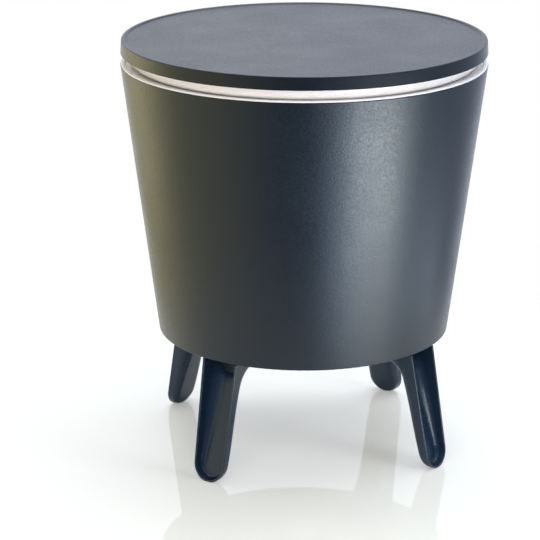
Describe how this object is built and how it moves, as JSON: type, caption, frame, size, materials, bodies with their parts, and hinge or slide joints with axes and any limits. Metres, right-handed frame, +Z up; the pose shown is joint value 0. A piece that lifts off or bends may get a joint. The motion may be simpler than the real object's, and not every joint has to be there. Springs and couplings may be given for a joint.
{
  "type": "ice bucket coffee table",
  "caption": "Round side table whose lifting, twist-locking top covers a tapered ice bucket on splayed trough legs, with a screw drain plug below.",
  "frame": {"origin": "on the floor under the middle of the table, at the centre of the box's base", "axes": "+Z up along the post; the legs stand at 45, 135, 225 and 315 degrees from +X, and -Y is the side seen in front"},
  "size_m": [0.4198, 0.4198, 0.482],
  "materials": {
    "graphite_pp": "fine satin grain, moulded polypropylene",
    "white_pp": "smooth, semi-gloss",
    "grey_pom": "plain moulded acetal",
    "black_rubber": "matt",
    "stainless": "plain stainless"
  },
  "bodies": {
    "bucket": {"outer_bucket": "graphite_pp", "liner": "white_pp", "leg_front_left": "graphite_pp", "leg_front_right": "graphite_pp", "leg_rear_left": "graphite_pp", "leg_rear_right": "graphite_pp", "leg_screws": "stainless", "post_sleeve": "white_pp", "post_gasket": "black_rubber", "post_nut": "graphite_pp", "collar_cap": "graphite_pp", "drain_fitting": "white_pp", "drain_gasket": "black_rubber", "drain_nut": "graphite_pp"},
    "collar": {"lock_collar": "grey_pom"},
    "top": {"tabletop": "graphite_pp", "lid_dish": "white_pp", "inner_post": "white_pp", "post_end_ring": "grey_pom", "post_head": "graphite_pp", "head_pin": "stainless", "head_screws": "stainless", "dish_screws": "stainless"},
    "washer": {"plug_washer": "black_rubber"},
    "plug": {"drain_plug": "graphite_pp"}
  },
  "joints": [
    {"name": "top_twist", "type": "hinge", "parent": "bucket", "child": "collar", "pos_m": [0, 0, 0.426], "axis": [0, 0, 1], "range_deg": [0, 40]},
    {"name": "top_lift", "type": "slide", "parent": "collar", "child": "top", "axis": [0, 0, 1], "range_m": [0, 0.22]},
    {"name": "plug_drop", "type": "slide", "parent": "bucket", "child": "washer", "axis": [0, 0, -1], "range_m": [0, 0.014]},
    {"name": "plug_turn", "type": "hinge", "parent": "washer", "child": "plug", "pos_m": [0.105, 0, 0.127], "axis": [0, 0, -1], "range_deg": [0, 1260]}
  ],
  "couplings": [
    {"joint": "plug_turn", "follows": "plug_drop", "rad_per_m": 1570.8}
  ]
}
